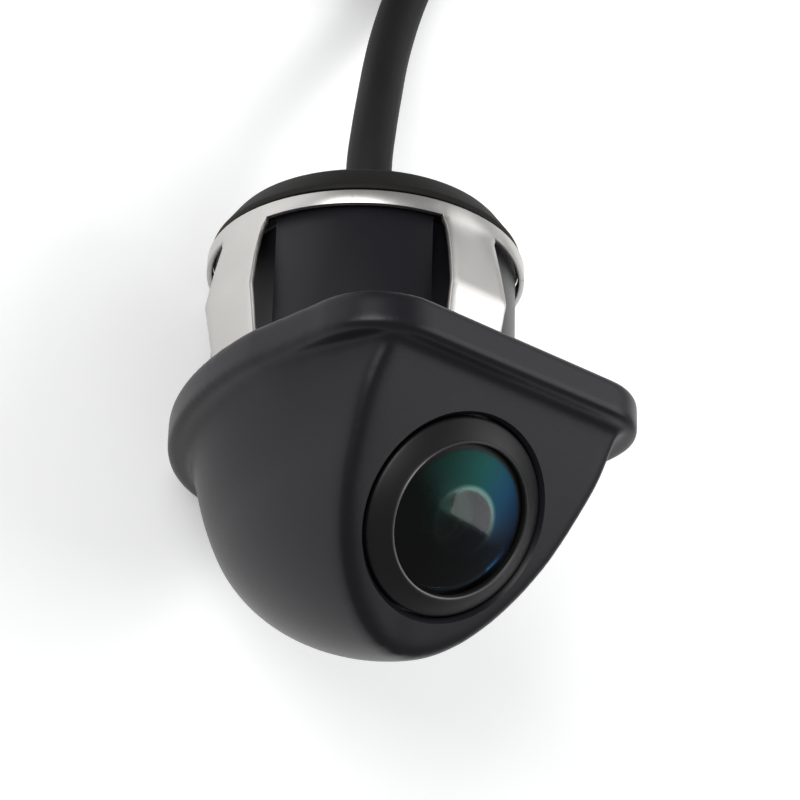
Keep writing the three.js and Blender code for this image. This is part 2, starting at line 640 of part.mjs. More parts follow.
function plugShell() {
  const grooveStart = SHELL_STOP + SHELL_STOP_WIDTH;
  const grooveEnd = grooveStart + SEAL_GROOVE_WIDTH;
  const neck = SHELL_RADIUS - 2 * SEAL_GROOVE_DEPTH;
  return turned([
    [0, SHELL_START],
    [neck, SHELL_START],
    [neck, SHELL_STOP],
    [SHELL_STOP_RADIUS, SHELL_STOP],
    [SHELL_STOP_RADIUS, grooveStart],
    [SHELL_RADIUS - SEAL_GROOVE_DEPTH, grooveStart],
    [SHELL_RADIUS - SEAL_GROOVE_DEPTH, grooveEnd],
    [SHELL_RADIUS, grooveEnd],
    [SHELL_RADIUS, PLUG_LENGTH],
    [SHELL_BORE, PLUG_LENGTH],
    [SHELL_BORE, INSERT_BACK - GAP],
    [0, INSERT_BACK - GAP],
  ], 28);
}

function pinAt(angle, radius, bottom, top) {
  const turn = THREE.MathUtils.degToRad(angle);
  return rod(radius, bottom, top, 12).translate(PIN_CIRCLE * Math.cos(turn), PIN_CIRCLE * Math.sin(turn), 0);
}

function plugInsert() {
  const holes = PIN_ANGLES.map((angle) => pinAt(angle, PIN_RADIUS + GAP, INSERT_BACK - 1, INSERT_FACE + 1));
  return cutFrom(rod(SHELL_BORE - GAP, INSERT_BACK, INSERT_FACE), ...holes);
}

const collarNut = () =>
  turned([
    [COLLAR_LIP, COLLAR_START],
    [COLLAR_RADIUS - COLLAR_CHAMFER, COLLAR_START],
    [COLLAR_RADIUS, COLLAR_START + COLLAR_CHAMFER],
    [COLLAR_RADIUS, COLLAR_END - COLLAR_CHAMFER],
    [COLLAR_RADIUS - COLLAR_CHAMFER, COLLAR_END],
    [COLLAR_BORE, COLLAR_END],
    [COLLAR_BORE, SHELL_STOP - 0.4],
    [COLLAR_LIP, SHELL_STOP - 0.4],
    [COLLAR_LIP, COLLAR_START],
  ], 36);

const plugSealPlace = SHELL_STOP + SHELL_STOP_WIDTH + SEAL_GROOVE_WIDTH / 2;
const plugSealRadius = SHELL_RADIUS + 0.35;
const plugSealSection = 0.26;
const connector = new THREE.Group();
connector.add(
  part('plug_boot', plugBoot(), rubber),
  part('plug_shell', plugShell(), blackPlastic),
  part('plug_insert', plugInsert(), blackPlastic),
  part('plug_seal', roundRing(plugSealRadius, plugSealSection, plugSealPlace), rubber),
  part('collar_nut', collarNut(), blackPlastic),
);
PIN_ANGLES.forEach((angle, i) => {
  connector.add(part(`plug_pin_${i + 1}`, pinAt(angle, PIN_RADIUS, INSERT_BACK + 0.2, COLLAR_END), brass));
});
connector.rotation.y = -Math.PI / 2;
connector.position.copy(PLUG_START);

// ---------- the camera, laid on its back ----------
const camera = new THREE.Group();
camera.add(part('housing', housing(), blackPaint), ...lensParts, ...sensorParts, ...wires);
camera.add(clipRing, ...clipLegs, ...capParts);
camera.rotation.x = -(Math.PI / 2 + LEAN);
camera.position.set(0, SEAT_Y, SEAT_HEIGHT);

const backupCamera = new THREE.Group();
backupCamera.add(camera, ...cordParts, connector);
export default backupCamera;
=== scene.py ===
import math

import bpy
from mathutils import Matrix, Vector


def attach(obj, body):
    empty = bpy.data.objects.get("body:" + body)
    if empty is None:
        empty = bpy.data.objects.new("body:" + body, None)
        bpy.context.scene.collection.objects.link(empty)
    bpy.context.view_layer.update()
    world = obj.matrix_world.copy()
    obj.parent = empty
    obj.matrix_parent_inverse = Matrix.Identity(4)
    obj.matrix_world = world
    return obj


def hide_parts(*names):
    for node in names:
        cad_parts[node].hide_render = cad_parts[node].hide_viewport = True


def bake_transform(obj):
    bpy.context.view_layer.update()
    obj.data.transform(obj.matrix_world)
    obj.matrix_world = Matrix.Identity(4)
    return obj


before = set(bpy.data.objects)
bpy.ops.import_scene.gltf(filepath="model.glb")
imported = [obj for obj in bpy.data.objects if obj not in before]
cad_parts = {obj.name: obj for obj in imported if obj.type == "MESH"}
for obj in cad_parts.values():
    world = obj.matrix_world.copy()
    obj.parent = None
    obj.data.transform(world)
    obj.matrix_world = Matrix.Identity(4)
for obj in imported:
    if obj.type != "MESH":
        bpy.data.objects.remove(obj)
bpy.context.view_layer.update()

MM = 0.001

# ---------------------------------------------------------------- view, floor and light
# A product shot on a white table: the camera looks down on the part from the lens side, and
# large soft panels light it, the strongest one from the left.
CAMERA_AT = Vector((-115.218, -46.209, 171.597)) * MM
AIMED_AT = Vector((1.585, 1.279, 15.227)) * MM
IMAGE_UP = Vector((-0.30481, 0.95094, 0.05299))
FOCAL_LENGTH = 135.8
TABLE_RADIUS = 2.5
LAMPS_AIM_AT = Vector((0, 0, 0.012))


def turn_to(target, at, up):
    """The rotation of a camera or lamp at one point that faces another."""
    back = (at - target).normalized()
    right = up.cross(back).normalized()
    return Matrix((right, back.cross(right), back)).transposed()


def none_selected():
    bpy.ops.object.select_all(action="DESELECT")


camera_data = bpy.data.cameras.new("view")
camera_data.lens = FOCAL_LENGTH
camera_data.clip_start = 10 * MM
camera = bpy.data.objects.new("view", camera_data)
camera_turn = turn_to(AIMED_AT, CAMERA_AT, IMAGE_UP)
camera.matrix_world = Matrix.Translation(CAMERA_AT) @ camera_turn.to_4x4()
bpy.context.scene.collection.objects.link(camera)
bpy.context.scene.camera = camera
bpy.context.scene.view_settings.view_transform = "Standard"

# name, place, width, height and power of each panel; all of them face the camera body
PANELS = (
    ("left", (-0.45, 0.13, 0.37), 0.34, 0.34, 2.4),
    ("right", (0.37, 0.05, 0.46), 0.42, 0.34, 1.3),
    ("back", (0.34, 0.36, 0.34), 0.40, 0.30, 0.6),
)
for name, place, width, height, power in PANELS:
    lamp = bpy.data.lights.new(name, "AREA")
    lamp.shape = "RECTANGLE"
    lamp.size = width
    lamp.size_y = height
    lamp.energy = power
    panel = bpy.data.objects.new(name, lamp)
    at = Vector(place)
    panel_turn = turn_to(LAMPS_AIM_AT, at, Vector((0, 0, 1)))
    panel.matrix_world = Matrix.Translation(at) @ panel_turn.to_4x4()
    bpy.context.scene.collection.objects.link(panel)

world = bpy.data.worlds.new("studio")
world.use_nodes = True
world.node_tree.nodes["Background"].inputs["Color"].default_value = (0.96, 0.98, 1.0, 1)
world.node_tree.nodes["Background"].inputs["Strength"].default_value = 0.28
bpy.context.scene.world = world


# Shader sums are written as plain arithmetic: a Value holds a socket, and each sum adds a node.
class Value:
    def __init__(self, finish, socket):
        self.finish = finish
        self.socket = socket

    def math(self, operation, first, second=None):
        inputs = {0: first} if second is None else {0: first, 1: second}
        return self.finish.node("ShaderNodeMath", {"operation": operation}, inputs)

    def __add__(self, other):
        return self.math("ADD", self, other)

    def __radd__(self, other):
        return self.math("ADD", other, self)

    def __sub__(self, other):
        return self.math("SUBTRACT", self, other)

    def __rsub__(self, other):
        return self.math("SUBTRACT", other, self)

    def __mul__(self, other):
        return self.math("MULTIPLY", self, other)

    def __rmul__(self, other):
        return self.math("MULTIPLY", other, self)

    def sine(self):
        return self.math("SINE", self)

    def between(self, low, high):
        """0 below low, 1 above high and a smooth step between them."""
        return self.finish.node(
            "ShaderNodeMapRange",
            {"interpolation_type": "SMOOTHSTEP"},
            {"Value": self, "From Min": low, "From Max": high},
        )


class Finish:
    """One material: its Principled shader and the nodes that feed it."""

    def __init__(self, name, **constants):
        self.material = bpy.data.materials.new(name)
        self.material.use_nodes = True
        self.tree = self.material.node_tree
        self.shader = self.tree.nodes["Principled BSDF"]
        for socket, value in constants.items():
            self.shader.inputs[socket.replace("_", " ")].default_value = value

    def node(self, kind, settings=None, inputs=None, output=0):
        made = self.tree.nodes.new(kind)
        for name, value in (settings or {}).items():
            if name == "stops":
                for stop, (place, colour) in zip(self.ramp_stops(made, len(value)), value):
                    stop.position = place
                    stop.color = colour
            else:
                setattr(made, name, value)
        for name, value in (inputs or {}).items():
            if isinstance(value, Value):
                self.tree.links.new(value.socket, made.inputs[name])
            else:
                made.inputs[name].default_value = value
        return Value(self, made.outputs[output])

    @staticmethod
    def ramp_stops(ramp, count):
        elements = ramp.color_ramp.elements
        while len(elements) < count:
            elements.new(0.5)
        return elements

    def feed(self, socket, value):
        self.tree.links.new(value.socket, self.shader.inputs[socket])

    def place(self, centre=(0, 0, 0), turn=(0, 0, 0), scale=(1, 1, 1)):
        """Object coordinates measured from a centre, along turned and stretched axes."""
        place = self.node("ShaderNodeTexCoord", output="Object")
        inputs = {"Vector": place, "Location": centre, "Rotation": turn, "Scale": scale}
        return self.node("ShaderNodeMapping", {"vector_type": "TEXTURE"}, inputs)

    def noise(self, place, size, detail=3.0, roughness=0.5):
        """Mottling from 0 to 1 whose patches are about that size in metres."""
        inputs = {"Vector": place, "Scale": 1 / size, "Detail": detail, "Roughness": roughness}
        return self.node("ShaderNodeTexNoise", {}, inputs)

    def mix(self, factor, low, high):
        settings = {"data_type": "RGBA"}
        return self.node("ShaderNodeMix", settings, {0: factor, 6: low, 7: high}, output=2)

    def bump(self, height, depth, strength=1.0):
        """Relief whose height of 0 to 1 stands for that depth in metres."""
        inputs = {"Height": height, "Distance": depth, "Strength": strength}
        self.feed("Normal", self.node("ShaderNodeBump", {}, inputs))


def rgb(red, green, blue):
    return (red, green, blue, 1)


def wears(piece, material):
    piece.data.materials.clear()
    piece.data.materials.append(material)


# The table top is a light panel under matt white acrylic, so that shadows on it stay faint.
table_top = Finish("lit_acrylic", Roughness=0.9, Emission_Color=(1, 1, 1, 1), Emission_Strength=0.3)
table_grain = table_top.noise(table_top.place(), 2 * MM)
table_top.feed("Base Color", table_top.mix(table_grain, rgb(0.9, 0.9, 0.9), rgb(0.92, 0.92, 0.92)))
none_selected()
bpy.ops.mesh.primitive_circle_add(vertices=96, radius=TABLE_RADIUS, fill_type="NGON")
table = bpy.context.object
table.name = "table"
wears(table, table_top.material)

# ---------------------------------------------------------------- cord
# The pigtail is a round four-core cable in a matt black PVC jacket. It leaves the grommet, sinks to
# the table and is stored in a two-layer coil, and its tail ends in the connector's boot.
CORD_DIAMETER = 3.2 * MM
LEAD = [
    (0, 14.1, 9.32),
    (0, 16.55, 8.59),
    (0.05, 18.6, 7.95),
    (0.5, 21.4, 6.95),
    (1.2, 24.2, 5.75),
    (2.05, 27.2, 4.4),
    (3, 30.2, 3.15),
    (4, 33.4, 2.2),
    (4.45, 34.9, 1.95),
    (5.6, 38.2, 1.64),
    (7.2, 42.3, 1.7),
]
TAIL = [
    (0.5, 39.0, 5.7),
    (4.2, 41.6, 6.4),
    (7.4, 44.9, 7.6),
    (10, 49.1, 9.3),
    (10.8, 54.3, 10.9),
    (9.6, 59.2, 12.6),
    (6.4, 63, 14),
    (1.8, 64.9, 14.65),
    (-2.7, 65.1, 14.7),
    (-5.4, 65.1, 14.7),
]
COIL_MIDDLE = Vector((-12, 55, 0))
COIL_OUTSIDE = 22.2
COIL_PITCH = 3.3
COIL_START = -20
FIRST_LAYER_TURN = 1080
CLIMB_TURN = 180
SECOND_LAYER_TURN = 855
FIRST_LAYER_HEIGHT = 2.1
COIL_STEP = 15
CLIMB_TIGHTENING = 0.3


def coil_turns():
    """Inward on the table, up over half a turn, and outward again on top."""
    inside = COIL_OUTSIDE - COIL_PITCH * FIRST_LAYER_TURN / 360
    for turn in range(0, FIRST_LAYER_TURN + CLIMB_TURN + SECOND_LAYER_TURN + 1, COIL_STEP):
        climbing = turn - FIRST_LAYER_TURN
        climbed = min(max(climbing / CLIMB_TURN, 0), 1)
        outward = max(climbing - CLIMB_TURN, 0)
        radius = max(COIL_OUTSIDE - COIL_PITCH * turn / 360, inside) + COIL_PITCH * outward / 360
        radius -= CLIMB_TIGHTENING * math.sin(math.pi * climbed)
        height = FIRST_LAYER_HEIGHT + COIL_PITCH * climbed * climbed * (3 - 2 * climbed)
        angle = math.radians(COIL_START + turn)
        yield COIL_MIDDLE + Vector((radius * math.cos(angle), radius * math.sin(angle), height))


cord_route = [Vector(point) * MM for point in [*LEAD, *coil_turns(), *TAIL]]
cord_curve = bpy.data.curves.new("cord", "CURVE")
cord_curve.dimensions = "3D"
cord_curve.bevel_depth = CORD_DIAMETER / 2
cord_curve.bevel_resolution = 6
cord_curve.resolution_u = 6
cord_curve.use_fill_caps = True
cord_line = cord_curve.splines.new("BEZIER")
cord_line.bezier_points.add(len(cord_route) - 1)
for point, place in zip(cord_line.bezier_points, cord_route):
    point.co = place
    point.handle_left_type = "AUTO"
    point.handle_right_type = "AUTO"
cord = bpy.data.objects.new("cord", cord_curve)
bpy.context.scene.collection.objects.link(cord)

jacket = Finish("pvc_jacket", Specular_IOR_Level=0.22)
jacket_place = jacket.place()
jacket_mottle = jacket.noise(jacket_place, 6 * MM)
jacket_grain = jacket.noise(jacket_place, 0.16 * MM, detail=5)
jacket_dark, jacket_light = rgb(0.0085, 0.008, 0.0088), rgb(0.013, 0.0123, 0.0133)
jacket.feed("Base Color", jacket.mix(jacket_mottle, jacket_dark, jacket_light))
jacket.feed("Roughness", 0.46 + 0.16 * jacket_mottle + 0.1 * jacket_grain)
jacket.bump(jacket_grain, 0.02 * MM, 0.7)
wears(cord, jacket.material)
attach(cord, "camera")
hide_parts("cord_lead", "cord_tail", "cord_coil")

# ---------------------------------------------------------------- housing
# One black-painted zinc casting: a D-shaped flange, a rounded dome with a slanted flat for the lens,
# and the hollow barrel that passes through the hole in the trailer.
SEAT_Y = -0.47
FLANGE_BACK = 14.1
RING_RADIUS = 10.8
RING_TOP = 11.35
LEAN = math.atan2(FLANGE_BACK - RING_RADIUS, RING_TOP)
SEAT_HEIGHT = FLANGE_BACK * math.cos(LEAN)
LAID_DOWN = Matrix.Translation(Vector((0, SEAT_Y, SEAT_HEIGHT)) * MM) @ Matrix.Rotation(
    -(math.pi / 2 + LEAN), 4, "X"
)
FLANGE_HALF_WIDTH = 13.5
FLANGE_FRONT = 16
FLANGE_THICKNESS = 2.6
FLANGE_WIDEST = -5.1
CORNER_RADIUS = 5.1
CORNER_HALF_WIDTH = 12.9
FLANGE_ROUNDING = 0.45
DOME_SIZE = (10.15, 20.7, 13.8)
DOME_CENTRE = (0, -8, -4.8)
DOME_ROUNDNESS = 1.76
SHOULDER_RISES = (1.1, 1.1, 1.4)
FLARE_FOOT = -8
FLARE = 0.25
FLARE_CURVE = 1.6
FLARE_FRONT = -15
FLARE_FADE = 9
LENS_SLOPE = math.radians(33.2)
LENS_FACE = Vector((0, -9.6, -10.3))
INTO_LENS = (
    LAID_DOWN
    @ Matrix.Translation(LENS_FACE * MM)
    @ Matrix.Rotation(-(math.pi / 2 - LENS_SLOPE), 4, "X")
)
BARREL_RADIUS = 10.2
BARREL_TOP = 11.3
BARREL_BORE = 8.4
BARREL_ROUNDING = 0.35
POCKET_FLOOR = 9.3
POCKET_WIDTH = 5.2
POCKET_HEIGHT = 10.36
POCKET_REACH = 6
SIDES = {"right": 0, "back": 90, "left": 180, "front": 270}
CASTING_GRAIN = 0.2 * MM


def named(piece, name):
    piece.name = name
    piece.data.name = name
    return piece


def active(piece):
    none_selected()
    piece.select_set(True)
    bpy.context.view_layer.objects.active = piece


def in_edit_mode(piece):
    active(piece)
    bpy.ops.object.mode_set(mode="EDIT")


def finished(piece, kind, **settings):
    """Adds a modifier to a piece and applies it."""
    active(piece)
    modifier = piece.modifiers.new(kind, kind)
    for name, value in settings.items():
        setattr(modifier, name, value)
    bpy.ops.object.modifier_apply(modifier=modifier.name)


def cut(piece, *tools):
    for tool in tools:
        finished(piece, "BOOLEAN", operation="DIFFERENCE", solver="MANIFOLD", object=tool)
        bpy.data.objects.remove(tool)


def join(piece, other):
    finished(piece, "BOOLEAN", operation="UNION", solver="MANIFOLD", object=other)
    bpy.data.objects.remove(other)


def laid(piece, matrix):
    """Moves a piece's mesh to its place and leaves its object at the origin."""
    active(piece)
    piece.matrix_world = matrix
    bpy.ops.object.transform_apply(location=True, rotation=True, scale=True)
    return piece


def smooth(piece, degrees=35):
    active(piece)
    bpy.ops.object.shade_smooth_by_angle(angle=math.radians(degrees))


def turned(name, profile, sides=64, hollow=False):
    """A piece turned about Z: a ring at the first [radius, height], extruded from point to point."""
    (radius, height), *rest = profile
    none_selected()
    bpy.ops.mesh.primitive_circle_add(vertices=sides, radius=radius * MM, location=(0, 0, height * MM))
    piece = named(bpy.context.object, name)
    bpy.ops.object.transform_apply(location=True)
    bpy.ops.object.mode_set(mode="EDIT")
    bpy.ops.mesh.select_all(action="SELECT")
    for next_radius, next_height in rest:
        rise = (next_height - height) * MM
        bpy.ops.mesh.extrude_region_move(TRANSFORM_OT_translate={"value": (0, 0, rise)})
        growth = next_radius / radius
        bpy.ops.transform.resize(value=(growth, growth, 1))
        radius, height = next_radius, next_height
    bpy.ops.mesh.select_all(action="DESELECT")
    bpy.ops.mesh.select_mode(type="EDGE")
    bpy.ops.mesh.select_non_manifold(extend=False, use_wire=False, use_multi_face=False, use_verts=False)
    if hollow:
        bpy.ops.mesh.bridge_edge_loops()
    else:
        bpy.ops.mesh.edge_face_add()
        bpy.ops.mesh.fill_holes(sides=0)
    bpy.ops.mesh.select_mode(type="VERT")
    bpy.ops.mesh.select_all(action="SELECT")
    bpy.ops.mesh.normals_make_consistent(inside=False)
    bpy.ops.object.mode_set(mode="OBJECT")
    return piece


def arc(centre_x, centre_y, radius_x, radius_y, start, end, steps):
    for step in range(steps + 1):
        angle = math.radians(start + (end - start) * step / steps)
        yield centre_x + radius_x * math.cos(angle), centre_y + radius_y * math.sin(angle)


def flange_outline():
    corner_x = CORNER_HALF_WIDTH - CORNER_RADIUS
    corner_y = CORNER_RADIUS - FLANGE_FRONT
    back_length = FLANGE_BACK - FLANGE_WIDEST
    yield from arc(-corner_x, corner_y, CORNER_RADIUS, CORNER_RADIUS, 180, 270, 16)
    yield from arc(corner_x, corner_y, CORNER_RADIUS, CORNER_RADIUS, 270, 360, 16)
    yield from arc(0, FLANGE_WIDEST, FLANGE_HALF_WIDTH, back_length, 0, 180, 72)


def flat_plate(name, outline, bottom, top, rounding):
    """A plate of that outline between two heights, with rounded edges."""
    curve = bpy.data.curves.new(name, "CURVE")
    curve.dimensions = "2D"
    curve.fill_mode = "BOTH"
    curve.extrude = ((top - bottom) / 2 - rounding) * MM
    curve.bevel_depth = rounding * MM
    curve.bevel_resolution = 3
    curve.offset = -rounding * MM
    points = list(outline)
    spline = curve.splines.new("POLY")
    spline.points.add(len(points) - 1)
    spline.use_cyclic_u = True
    for point, (x, y) in zip(spline.points, points):
        point.co = (x * MM, y * MM, 0, 1)
    plate = bpy.data.objects.new(name, curve)
    bpy.context.scene.collection.objects.link(plate)
    active(plate)
    bpy.ops.object.convert(target="MESH")
    plate = bpy.context.object
    laid(plate, Matrix.Translation((0, 0, (top + bottom) / 2 * MM)))
    in_edit_mode(plate)
    bpy.ops.mesh.select_all(action="SELECT")
    bpy.ops.mesh.remove_doubles(threshold=0.001 * MM)
    bpy.ops.mesh.normals_make_consistent(inside=False)
    bpy.ops.object.mode_set(mode="OBJECT")
    return plate


def dome():
    """Half a ball with squarer shoulders that widens to the flange, cut off flat for the lens."""
    none_selected()
    bpy.ops.mesh.primitive_uv_sphere_add(segments=96, ring_count=64, radius=1)
    ball = named(bpy.context.object, "dome")
    in_edit_mode(ball)
    bpy.ops.mesh.select_all(action="SELECT")
    bpy.ops.mesh.bisect(plane_co=(0, 0, 0), plane_no=(0, 0, 1), clear_outer=True, use_fill=False)
    bpy.ops.object.mode_set(mode="OBJECT")
    for vertex in ball.data.vertices:
        x, y, z = vertex.co
        spread = math.hypot(x, y)
        grown = spread ** (2 / DOME_ROUNDNESS - 1) if spread > 1e-6 else 0
        drop = max(-z, 0) ** (2 / DOME_ROUNDNESS)
        shaped = Vector((x * grown, y * grown, -drop))
        vertex.co = (shaped * Vector(DOME_SIZE) + Vector(DOME_CENTRE)) * MM
    in_edit_mode(ball)
    bpy.ops.mesh.select_mode(type="EDGE")
    bpy.ops.mesh.select_all(action="DESELECT")
    bpy.ops.mesh.select_non_manifold(extend=False, use_wire=False, use_multi_face=False, use_verts=False)
    for rise in SHOULDER_RISES:
        bpy.ops.mesh.extrude_region_move(TRANSFORM_OT_translate={"value": (0, 0, rise * MM)})
    bpy.ops.mesh.edge_face_add()
    bpy.ops.object.mode_set(mode="OBJECT")
    for vertex in ball.data.vertices:
        height = min(max((vertex.co.z / MM - FLARE_FOOT) / (-FLANGE_THICKNESS - FLARE_FOOT), 0), 1)
        behind_face = min(max((vertex.co.y / MM - FLARE_FRONT) / FLARE_FADE, 0), 1)
        vertex.co.x *= 1 + FLARE * behind_face * height**FLARE_CURVE
    bpy.ops.object.mode_set(mode="EDIT")
    bpy.ops.mesh.select_all(action="SELECT")
    outward = (0, -math.cos(LENS_SLOPE), -math.sin(LENS_SLOPE))
    bpy.ops.mesh.bisect(plane_co=LENS_FACE * MM, plane_no=outward, clear_outer=True, use_fill=True)
    bpy.ops.mesh.select_all(action="SELECT")
    bpy.ops.mesh.normals_make_consistent(inside=False)
    bpy.ops.object.mode_set(mode="OBJECT")
    return ball


housing = flat_plate("housing_shell", flange_outline(), -FLANGE_THICKNESS, 0, FLANGE_ROUNDING)
join(housing, dome())
finished(housing, "REMESH", mode="VOXEL", voxel_size=CASTING_GRAIN, adaptivity=0)

# A casting has no sharp corner: the ridge round the lens face, the fillet under the flange and the
# flange's own edge are rounded, the edge least.
softened = housing.vertex_groups.new(name="softened")
for vertex in housing.data.vertices:
    below_flange = (-vertex.co.z / MM - 2) / 2.5
    softened.add([vertex.index], min(max(below_flange, 0.1), 1), "REPLACE")
finished(housing, "SMOOTH", factor=0.5, iterations=90, vertex_group="softened")
housing.vertex_groups.clear()

relief_inside = BARREL_RADIUS - 2
relief_outside = 11.8
seat_relief = turned(
    "relief",
    [(relief_inside, 1), (relief_outside, 1), (relief_outside, -0.4), (relief_inside, -0.4)],
)
cut(housing, seat_relief)
barrel = turned(
    "barrel",
    [
        (BARREL_BORE, -1.5),
        (BARREL_RADIUS, -1.5),
        (BARREL_RADIUS, BARREL_TOP - BARREL_ROUNDING),
        (BARREL_RADIUS - 0.1, BARREL_TOP - 0.1),
        (BARREL_RADIUS - BARREL_ROUNDING, BARREL_TOP),
        (BARREL_BORE + 0.2, BARREL_TOP),
        (BARREL_BORE, BARREL_TOP - 0.2),
    ],
    160,
    hollow=True,
)
join(housing, barrel)
pocket_middle = ((POCKET_FLOOR + POCKET_REACH / 2) * MM, 0, POCKET_HEIGHT / 2 * MM)
for angle in SIDES.values():
    none_selected()
    bpy.ops.mesh.primitive_cube_add(size=1, location=pocket_middle)
    pocket = bpy.context.object
    pocket.scale = (POCKET_REACH * MM, POCKET_WIDTH * MM, POCKET_HEIGHT * MM)
    bpy.ops.object.transform_apply(location=True, rotation=True, scale=True)
    finished(pocket, "BEVEL", width=0.25 * MM, segments=3)
    laid(pocket, Matrix.Rotation(math.radians(angle), 4, "Z"))
    cut(housing, pocket)
laid(housing, LAID_DOWN)

lens_seat = turned(
    "lens_seat",
    [
        (0.3, -2),
        (7.1, -2),
        (6.95, -0.05),
        (6.78, 0.14),
        (6.66, 0.3),
        (6.66, 1.3),
        (5.2, 1.3),
        (5.2, 2.6),
        (6.9, 2.6),
        (6.9, 12),
        (0.3, 12),
    ],
    128,
)
bore_radius = BARREL_BORE - 0.05
inner_bore = turned("inner_bore", [(0.3, -1.4), (bore_radius, -1.4), (bore_radius, 3), (0.3, 3)], 96)
cut(housing, laid(lens_seat, INTO_LENS), laid(inner_bore, LAID_DOWN))
smooth(housing, 32)

paint = Finish("black_casting_paint", Specular_IOR_Level=0.27)
paint_place = paint.place()
paint_cloud = paint.noise(paint_place, 9 * MM, detail=4)
paint_grain = paint.noise(paint_place, 0.22 * MM, detail=4, roughness=0.6)
paint_orange_peel = paint.noise(paint_place, 1.1 * MM, detail=2)
paint_dark, paint_light = rgb(0.0058, 0.0055, 0.0078), rgb(0.0086, 0.0082, 0.0114)
paint.feed("Base Color", paint.mix(paint_cloud, paint_dark, paint_light))
paint.feed("Roughness", 0.31 + 0.05 * paint_cloud + 0.08 * paint_grain)
paint.bump(paint_grain * 0.45 + paint_orange_peel * 0.55, 0.012 * MM, 0.8)
wears(housing, paint.material)
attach(housing, "camera")
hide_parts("housing")

# ---------------------------------------------------------------- lens body and its rings
# The lens body is turned from aluminium and anodised black. Its bezel is a shallow cone with fine
# tool marks, and a thin bare lip at the edge of the glass catches the light.
BEZEL_RADIUS = 6.5
RIM_RADIUS = 5.3
RIM_RISE = 0.72
GLASS_EDGE = 4.92
lens_body = turned(
    "lens_bezel",
    [
        (4.86, 2.2),
        (GLASS_EDGE + 0.03, 0.3),
        (GLASS_EDGE + 0.03, -RIM_RISE + 0.1),
        (GLASS_EDGE + 0.09, -RIM_RISE - 0.02),
        (GLASS_EDGE + 0.17, -RIM_RISE - 0.04),
        (GLASS_EDGE + 0.24, -RIM_RISE + 0.04),
        (RIM_RADIUS, -RIM_RISE + 0.1),
        (6.02, -0.22),
        (BEZEL_RADIUS - 0.14, 0.02),
        (BEZEL_RADIUS - 0.03, 0.1),
        (BEZEL_RADIUS, 0.22),
        (BEZEL_RADIUS, 0.6),
        (4.9, 0.6),
        (4.9, 8.2),
        (3.4, 8.2),
        (3.4, 2.2),
    ],
    128,
    hollow=True,
)
laid(lens_body, INTO_LENS)
smooth(lens_body, 40)

LENS_CENTRE = INTO_LENS.translation
LENS_TURN = INTO_LENS.to_euler()


def from_lens_axis(finish):
    """Distance from the lens axis, in metres."""
    place = finish.place(LENS_CENTRE, LENS_TURN, (1, 1, 1))
    flat = finish.node("ShaderNodeVectorMath", {"operation": "MULTIPLY"}, {0: place, 1: (1, 1, 0)})
    return finish.node("ShaderNodeVectorMath", {"operation": "LENGTH"}, {0: flat}, output="Value")


anodised = Finish("black_anodised", Specular_IOR_Level=0.3)
axis_distance = from_lens_axis(anodised)
tool_pitch = 0.09 * MM
tool_marks = (axis_distance * (2 * math.pi / tool_pitch)).sine() * 0.5 + 0.5
body_grain = anodised.noise(anodised.place(), 0.2 * MM, detail=4)
depth_in = anodised.node(
    "ShaderNodeSeparateXYZ", {}, {"Vector": anodised.place(LENS_CENTRE, LENS_TURN)}, output="Z"
)
near_edge = 1 - axis_distance.between(5.1 * MM, 5.16 * MM)
at_front = 1 - depth_in.between(-0.66 * MM, -0.6 * MM)
lip = near_edge * at_front
anodised.feed("Base Color", anodised.mix(lip, rgb(0.005, 0.005, 0.0055), rgb(0.1, 0.1, 0.1)))
anodised.feed("Metallic", lip)
anodised.feed("Roughness", 0.36 + 0.1 * body_grain)
anodised.bump(tool_marks * 0.6 + body_grain * 0.4, 0.006 * MM, 0.6)
wears(lens_body, anodised.material)
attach(lens_body, "camera")
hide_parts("lens_body")

# ---------------------------------------------------------------- spacer behind the front glass
# A matt black cone with stepped rings that stop stray light. It holds the front glass off the
# second one, which shows as a small disc in its middle.
SPACER_STEPS = 7
SPACER_FRONT = 1.25
SPACER_BACK = 2.25
SPACER_MOUTH = 4.5
SPACER_THROAT = 2.0
spacer_profile = [(4.7, SPACER_BACK), (4.7, SPACER_FRONT)]
for step in range(SPACER_STEPS):
    radius = SPACER_MOUTH - (SPACER_MOUTH - SPACER_THROAT) * step / (SPACER_STEPS - 1)
    depth = SPACER_FRONT + (SPACER_BACK - 0.2 - SPACER_FRONT) * step / (SPACER_STEPS - 1)
    spacer_profile += [(radius, depth), (radius - 0.12, depth + 0.1)]
spacer_profile += [(1.9, SPACER_BACK)]
spacer = turned("spacer_cone", spacer_profile, 96, hollow=True)
laid(spacer, INTO_LENS)
smooth(spacer, 20)
matt_black = Finish("matt_black", Specular_IOR_Level=0.05)
matt_grain = matt_black.noise(matt_black.place(), 0.12 * MM, detail=4)
matt_dark, matt_light = rgb(0.001, 0.001, 0.001), rgb(0.003, 0.003, 0.003)
matt_black.feed("Base Color", matt_black.mix(matt_grain, matt_dark, matt_light))
matt_black.feed("Roughness", 0.7 + 0.15 * matt_grain)
matt_black.bump(matt_grain, 0.01 * MM)
wears(spacer, matt_black.material)
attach(spacer, "camera")
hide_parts("glass_spacer")

